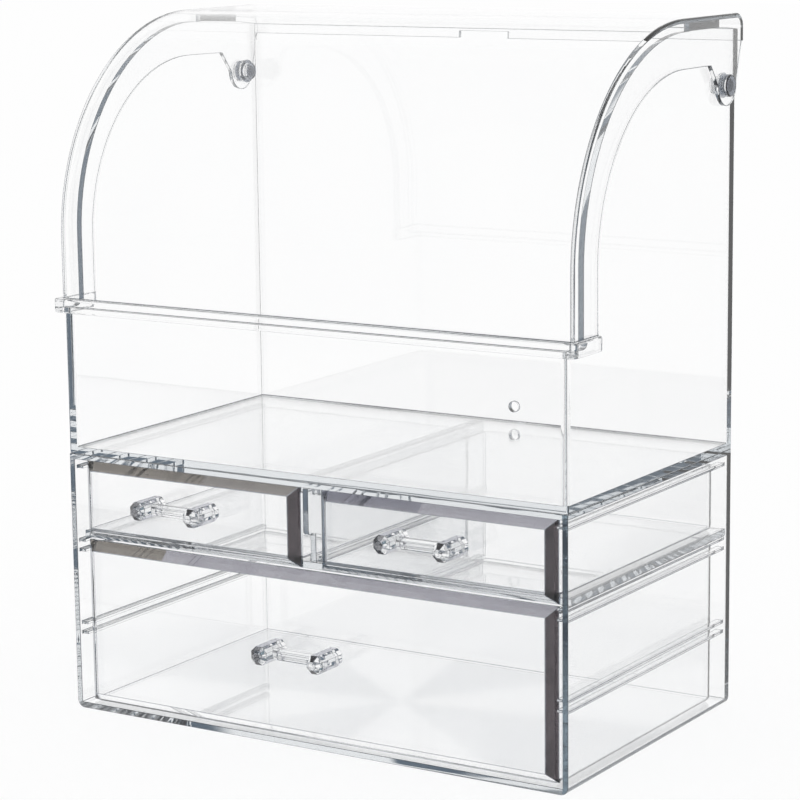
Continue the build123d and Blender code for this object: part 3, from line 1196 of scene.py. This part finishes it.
# Studio -------------------------------------------------------------------------------------------
@dataclass(frozen=True)
class Room:
    """The studio's surroundings: white backdrops, dark gaps between them and a white top.

    Each pair gives where a mask starts and where it is full: gap_wave on the cosine of the turn
    round the object, the others on the height of a ray's way.
    """

    turn: float
    backdrops: int = 4
    gap_wave: tuple[float, float] = (0.20, -0.10)
    high_part: tuple[float, float] = (0.40, 0.55)
    open_top: tuple[float, float] = (0.90, 0.84)

    def build(self) -> bpy.types.NodeTree:
        """Build the group that tells the white backdrops from the dark gaps.

        Returns:
            A group with input Way and outputs Low Dark and High Dark.
        """
        tree = bpy.data.node_groups.new("studio_room", "ShaderNodeTree")
        tree.interface.new_socket("Way", in_out="INPUT", socket_type="NodeSocketVector")
        for label in ("Low Dark", "High Dark"):
            tree.interface.new_socket(label, in_out="OUTPUT", socket_type="NodeSocketFloat")
        entry, leave = tree.nodes.new("NodeGroupInput"), tree.nodes.new("NodeGroupOutput")
        way = tree.nodes.new("ShaderNodeSeparateXYZ")
        tree.links.new(entry.outputs["Way"], way.inputs["Vector"])
        height = way.outputs["Z"]
        turn = calc(tree, "ARCTAN2", way.outputs["X"], way.outputs["Y"])
        from_backdrop = calc(tree, "SUBTRACT", turn, math.radians(self.turn))
        wave = calc(tree, "COSINE", calc(tree, "MULTIPLY", from_backdrop, float(self.backdrops)))
        gap = soft_step(tree, wave, *self.gap_wave)
        above = soft_step(tree, height, *self.high_part)
        low_dark = calc(tree, "MULTIPLY", gap, soft_step(tree, height, *self.open_top))
        tree.links.new(low_dark, leave.inputs["Low Dark"])
        tree.links.new(calc(tree, "MULTIPLY", low_dark, above), leave.inputs["High Dark"])
        return tree


@dataclass(frozen=True)
class Studio:
    """Camera, floor and surroundings, which also light the object."""

    camera_place: Place = (0.61788, -0.97893, 0.34994)
    camera_azimuth: float = 32.24
    camera_elevation: float = 10.61
    camera_roll: float = -0.688
    lens: float = 126.05
    sensor: float = 36.0
    far: float = 50.0
    floor_half: float = 6.0
    floor_white: float = 0.95
    floor_glow: float = 0.8
    few_mirrorings: float = 1.0
    many_mirrorings: float = 2.15
    floor_gap: float = 0.0002
    room_white: Colour = (1.0, 1.0, 1.0)
    low_colour: Colour = (0.10, 0.14, 0.185)
    high_colour: Colour = (0.03, 0.03, 0.035)

    def place_camera(self) -> None:
        """Put the camera where the photograph was taken from."""
        data = bpy.data.cameras.new("camera")
        data.lens = self.lens
        data.sensor_width = self.sensor
        data.clip_end = self.far
        camera = bpy.data.objects.new("camera", data)
        azimuth = math.radians(self.camera_azimuth)
        elevation = math.radians(self.camera_elevation)
        back = Vector((
            math.sin(azimuth) * math.cos(elevation),
            -math.cos(azimuth) * math.cos(elevation),
            math.sin(elevation),
        ))
        right = Vector((math.cos(azimuth), math.sin(azimuth), 0.0))
        up = back.cross(right)
        roll = Matrix.Rotation(math.radians(self.camera_roll), 3, "Z")
        turn = Matrix((right, up, back)).transposed() @ roll
        camera.matrix_world = Matrix.Translation(self.camera_place) @ turn.to_4x4()
        bpy.context.scene.collection.objects.link(camera)
        bpy.context.scene.camera = camera

    def lay_floor(self, room: bpy.types.NodeTree) -> None:
        """Lay the pale floor, which keeps the object's shadow.

        Args:
            room: the shader group that gives the room's light and dark parts.
        """
        half = self.floor_half
        mesh = bpy.data.meshes.new("floor")
        corners = [(-half, -half), (half, -half), (half, half), (-half, half)]
        mesh.from_pydata([(x, y, -self.floor_gap) for x, y in corners], [], [(0, 1, 2, 3)])
        floor = bpy.data.objects.new("floor", mesh)
        bpy.context.scene.collection.objects.link(floor)
        material = bpy.data.materials.new("floor_paint")
        material.use_nodes = True
        tree = material.node_tree
        nodes, link = tree.nodes, tree.links.new
        nodes.remove(nodes["Principled BSDF"])
        matt = nodes.new("ShaderNodeBsdfDiffuse")
        matt.inputs["Color"].default_value = (self.floor_white,) * 3 + (1.0,)
        glow = nodes.new("ShaderNodeEmission")
        link(self.room_light(tree, room, "Object"), glow.inputs["Color"])
        seen = calc(tree, "MULTIPLY", seen_rays(tree), self.floor_glow)
        mirrored = mirrored_rays(tree, self.few_mirrorings, self.many_mirrorings)
        mix = nodes.new("ShaderNodeMixShader")
        link(calc(tree, "MAXIMUM", seen, mirrored), mix.inputs["Fac"])
        link(matt.outputs["BSDF"], mix.inputs[1])
        link(glow.outputs["Emission"], mix.inputs[2])
        link(mix.outputs["Shader"], nodes["Material Output"].inputs["Surface"])
        mesh.materials.append(material)

    def light(self, room: bpy.types.NodeTree) -> None:
        """Light the object from a white room whose dark parts only mirrored light sees.

        Args:
            room: the shader group that gives the room's light and dark parts.
        """
        world = bpy.data.worlds.new("studio")
        bpy.context.scene.world = world
        world.use_nodes = True
        tree = world.node_tree
        light = self.room_light(tree, room, "Generated")
        tree.links.new(light, tree.nodes["Background"].inputs["Color"])

    def room_light(
        self, tree: bpy.types.NodeTree, room: bpy.types.NodeTree, coordinates: str
    ) -> bpy.types.NodeSocket:
        """Give the room's colour: white, but with dark parts for light mirrored on or in the walls.

        Args:
            tree: the node tree of the world or the floor.
            room: the shader group that gives the room's light and dark parts.
            coordinates: the Texture Coordinate output that tells where a ray goes.

        Returns:
            The colour's socket.
        """
        nodes, link = tree.nodes, tree.links.new
        place = nodes.new("ShaderNodeTexCoord")
        parts = nodes.new("ShaderNodeGroup")
        parts.node_tree = room
        link(place.outputs[coordinates], parts.inputs["Way"])
        low = mix_colours(tree, parts.outputs["Low Dark"], self.room_white, self.low_colour)
        full = mix_colours(tree, parts.outputs["High Dark"], low, self.high_colour)
        mirrored = mirrored_rays(tree, self.few_mirrorings, self.many_mirrorings)
        return mix_colours(tree, mirrored, self.room_white, full)


def main() -> None:
    """Dress the organizer and set up the studio."""
    logging.basicConfig(level=logging.INFO, format="%(message)s")
    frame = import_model()
    groups = {"mould_ripple": mould_ripple_group(), "handling_film": handling_film_group()}
    for sub_assembly in (
        Cabinet(ClearPlastic("cabinet_clear")),
        DisplayCase(ClearPlastic("case_clear")),
        SwingHood(ClearPlastic("hood_clear")),
        Drawers(ClearPlastic("drawer_clear")),
    ):
        sub_assembly.dress(sub_assembly.build(frame), sub_assembly.finish.build(groups))
    handles, hinges = GemHandles(ClearPlastic("handle_clear")), Hinges(ClearPlastic("hinge_clear"))
    for small_parts in (handles, hinges):
        material = small_parts.finish.build(groups)
        small_parts.dress(small_parts.build(frame, material), material)
    studio = Studio()
    studio.place_camera()
    room = Room(turn=-studio.camera_azimuth).build()
    studio.lay_floor(room)
    studio.light(room)
    scene = bpy.context.scene
    scene.view_settings.view_transform = "Standard"
    for depth in LIGHT_PATH_LIMITS:
        setattr(scene.cycles, depth, LIGHT_PATH_DEPTH)


if __name__ == "__main__":
    main()
